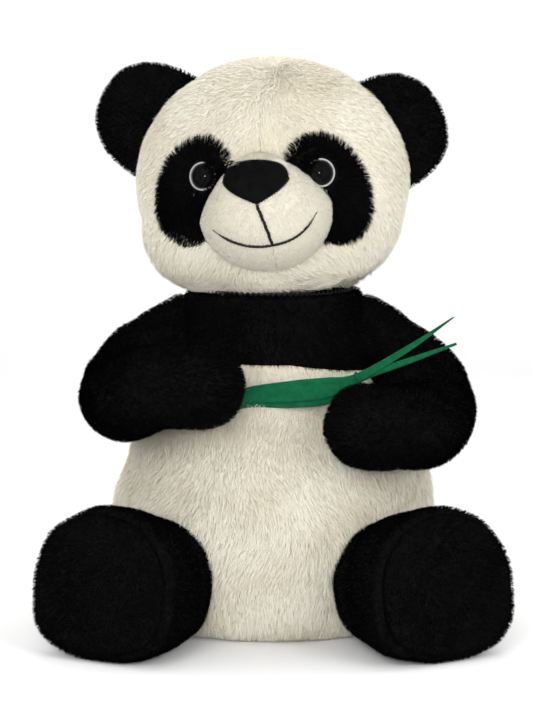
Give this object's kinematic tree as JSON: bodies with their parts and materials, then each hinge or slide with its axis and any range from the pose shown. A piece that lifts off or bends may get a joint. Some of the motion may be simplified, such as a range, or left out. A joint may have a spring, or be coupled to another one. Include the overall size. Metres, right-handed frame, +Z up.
{
  "type": "plush panda",
  "caption": "Sitting plush panda with a flat seat, round head on a soft neck, curved arms, stubby legs and ribbon leaves held across the belly.",
  "frame": {"origin": "middle of the flat seat panel's underside, on the surface the toy sits on", "axes": "+Z up, the face looks along -Y, +X to the right as seen from in front (the toy's left)"},
  "size_m": [0.2832, 0.2266, 0.3646],
  "materials": {
    "white_plush": "long fluffy cream-white pile on a knitted back",
    "black_plush": "short dense black pile with a soft sheen",
    "cream_velboa": "very short smooth cream pile",
    "black_velboa": "very short black pile with a stitched edge",
    "embroidery_thread": "twisted black embroidery thread",
    "sewing_thread": "matte sewing thread",
    "eye_plastic": "polished black dome",
    "eye_ring_plastic": "smooth pale rim",
    "washer_plastic": "moulded natural plastic",
    "green_ribbon": "woven green ribbon with a fine rib",
    "fibre_filling": "loose polyester fibre",
    "pellet_bag_cotton": "plain woven cotton"
  },
  "bodies": {
    "torso": {"belly_front": "white_plush", "back_left": "white_plush", "back_right": "white_plush", "base_panel": "white_plush", "chest_front": "black_plush", "chest_back": "black_plush", "body_filling": "fibre_filling", "pellet_bag": "pellet_bag_cotton", "shoulder_seam_left": "sewing_thread", "shoulder_seam_right": "sewing_thread"},
    "neck": {"neck_filling": "fibre_filling"},
    "neck_ring": {"neck_seam": "sewing_thread"},
    "head": {"face_left": "white_plush", "face_right": "white_plush", "head_back_left": "white_plush", "head_back_right": "white_plush", "head_filling": "fibre_filling", "muzzle_left": "cream_velboa", "muzzle_right": "cream_velboa", "muzzle_filling": "fibre_filling", "nose_patch": "black_velboa", "mouth_stitching": "embroidery_thread", "eye_patch_left": "black_plush", "eye_patch_right": "black_plush", "eye_left": "eye_plastic", "eye_right": "eye_plastic", "eye_ring_left": "eye_ring_plastic", "eye_ring_right": "eye_ring_plastic", "eye_washer_left": "washer_plastic", "eye_washer_right": "washer_plastic"},
    "ear_left": {"ear_front_left": "black_plush", "ear_back_left": "black_plush", "ear_filling_left": "fibre_filling"},
    "ear_right": {"ear_front_right": "black_plush", "ear_back_right": "black_plush", "ear_filling_right": "fibre_filling"},
    "arm_left": {"arm_outer_left": "black_plush", "arm_inner_left": "black_plush", "arm_filling_left": "fibre_filling", "leaf_upper": "green_ribbon", "leaf_lower": "green_ribbon", "leaf_tie": "green_ribbon"},
    "arm_right": {"arm_outer_right": "black_plush", "arm_inner_right": "black_plush", "arm_filling_right": "fibre_filling"},
    "hip_ring_left": {"hip_seam_left": "sewing_thread"},
    "hip_ring_right": {"hip_seam_right": "sewing_thread"},
    "leg_left": {"leg_side_left": "black_plush", "sole_left": "black_plush", "leg_filling_left": "fibre_filling"},
    "leg_right": {"leg_side_right": "black_plush", "sole_right": "black_plush", "leg_filling_right": "fibre_filling"}
  },
  "joints": [
    {"name": "neck_turn", "type": "hinge", "parent": "torso", "child": "neck", "pos_m": [0, 0, 0.286], "axis": [0, 0, 1], "range_deg": [-25, 25], "stiffness_Nm_per_rad": 0.3},
    {"name": "head_nod", "type": "hinge", "parent": "neck", "child": "neck_ring", "pos_m": [0, 0, 0.286], "axis": [1, 0, 0], "range_deg": [-12, 4], "stiffness_Nm_per_rad": 0.8},
    {"name": "head_tilt", "type": "hinge", "parent": "neck_ring", "child": "head", "pos_m": [0, 0, 0.286], "axis": [0, 1, 0], "range_deg": [-10, 10], "stiffness_Nm_per_rad": 0.8},
    {"name": "ear_flex_left", "type": "hinge", "parent": "head", "child": "ear_left", "pos_m": [-0.08096, 0.01253, 0.32724], "axis": [0.5125, -0.0522, 0.8571], "range_deg": [-20, 20], "stiffness_Nm_per_rad": 0.05},
    {"name": "ear_flex_right", "type": "hinge", "parent": "head", "child": "ear_right", "pos_m": [0.08493, -0.00321, 0.32267], "axis": [0.452, -0.0405, -0.8911], "range_deg": [-20, 20], "stiffness_Nm_per_rad": 0.05},
    {"name": "arm_lift_left", "type": "hinge", "parent": "torso", "child": "arm_left", "pos_m": [-0.0616, 0, 0.1845], "axis": [-1, 0, 0], "range_deg": [0, 20]},
    {"name": "arm_lift_right", "type": "hinge", "parent": "torso", "child": "arm_right", "pos_m": [0.0616, 0, 0.1845], "axis": [-1, 0, 0], "range_deg": [0, 20]},
    {"name": "hip_splay_left", "type": "hinge", "parent": "torso", "child": "hip_ring_left", "pos_m": [-0.078, -0.078, 0.0415], "axis": [0, 0, -1], "range_deg": [-10, 10], "stiffness_Nm_per_rad": 0.2},
    {"name": "leg_lift_left", "type": "hinge", "parent": "hip_ring_left", "child": "leg_left", "pos_m": [-0.078, -0.078, 0.0415], "axis": [-0.866, 0.5, 0], "range_deg": [0, 20]},
    {"name": "hip_splay_right", "type": "hinge", "parent": "torso", "child": "hip_ring_right", "pos_m": [0.078, -0.078, 0.0415], "axis": [0, 0, 1], "range_deg": [-10, 10], "stiffness_Nm_per_rad": 0.2},
    {"name": "leg_lift_right", "type": "hinge", "parent": "hip_ring_right", "child": "leg_right", "pos_m": [0.078, -0.078, 0.0415], "axis": [-0.866, -0.5, 0], "range_deg": [0, 20]}
  ],
  "couplings": [
    {"joint": "arm_lift_right", "follows": "arm_lift_left", "ratio": 1}
  ]
}
